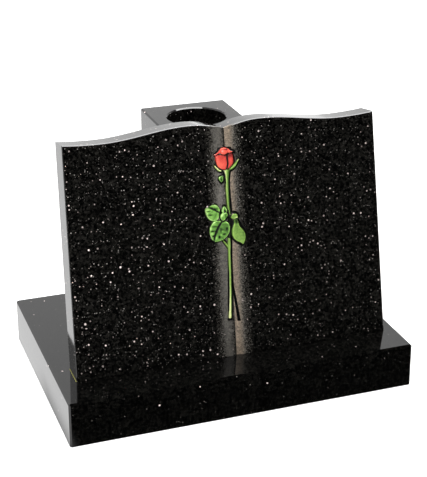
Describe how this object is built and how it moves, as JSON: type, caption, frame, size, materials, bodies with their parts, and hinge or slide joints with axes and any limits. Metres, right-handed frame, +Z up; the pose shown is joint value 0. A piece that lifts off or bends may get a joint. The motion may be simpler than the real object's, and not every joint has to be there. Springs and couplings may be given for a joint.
{
  "type": "headstone",
  "caption": "Open-book headstone: a leaning granite tablet with a carved rose down its spine, on a low base, with a block behind it for a flower container.",
  "frame": {"origin": "centre of the base's underside, which stands on the ground", "axes": "+X to the right as the inscription side is read, +Y towards the back, +Z up"},
  "size_m": [0.61, 0.406, 0.4747],
  "materials": {
    "base_granite": "polished black granite with fine bright flecks",
    "tablet_granite": "polished black granite, frosted down the spine, with a carved and painted rose",
    "block_granite": "polished black granite with fine bright flecks",
    "rose_paint": "satin red stone paint with darker shading",
    "leaf_paint": "satin green stone paint with darker veins",
    "stem_paint": "satin yellow-green stone paint",
    "black_paint": "matt black stone paint: the stem's painted shadow",
    "setting_compound": "thin olive bead of setting compound"
  },
  "bodies": {
    "root": {"base": "base_granite", "tablet": "tablet_granite", "vase_block": "block_granite"}
  },
  "joints": []
}
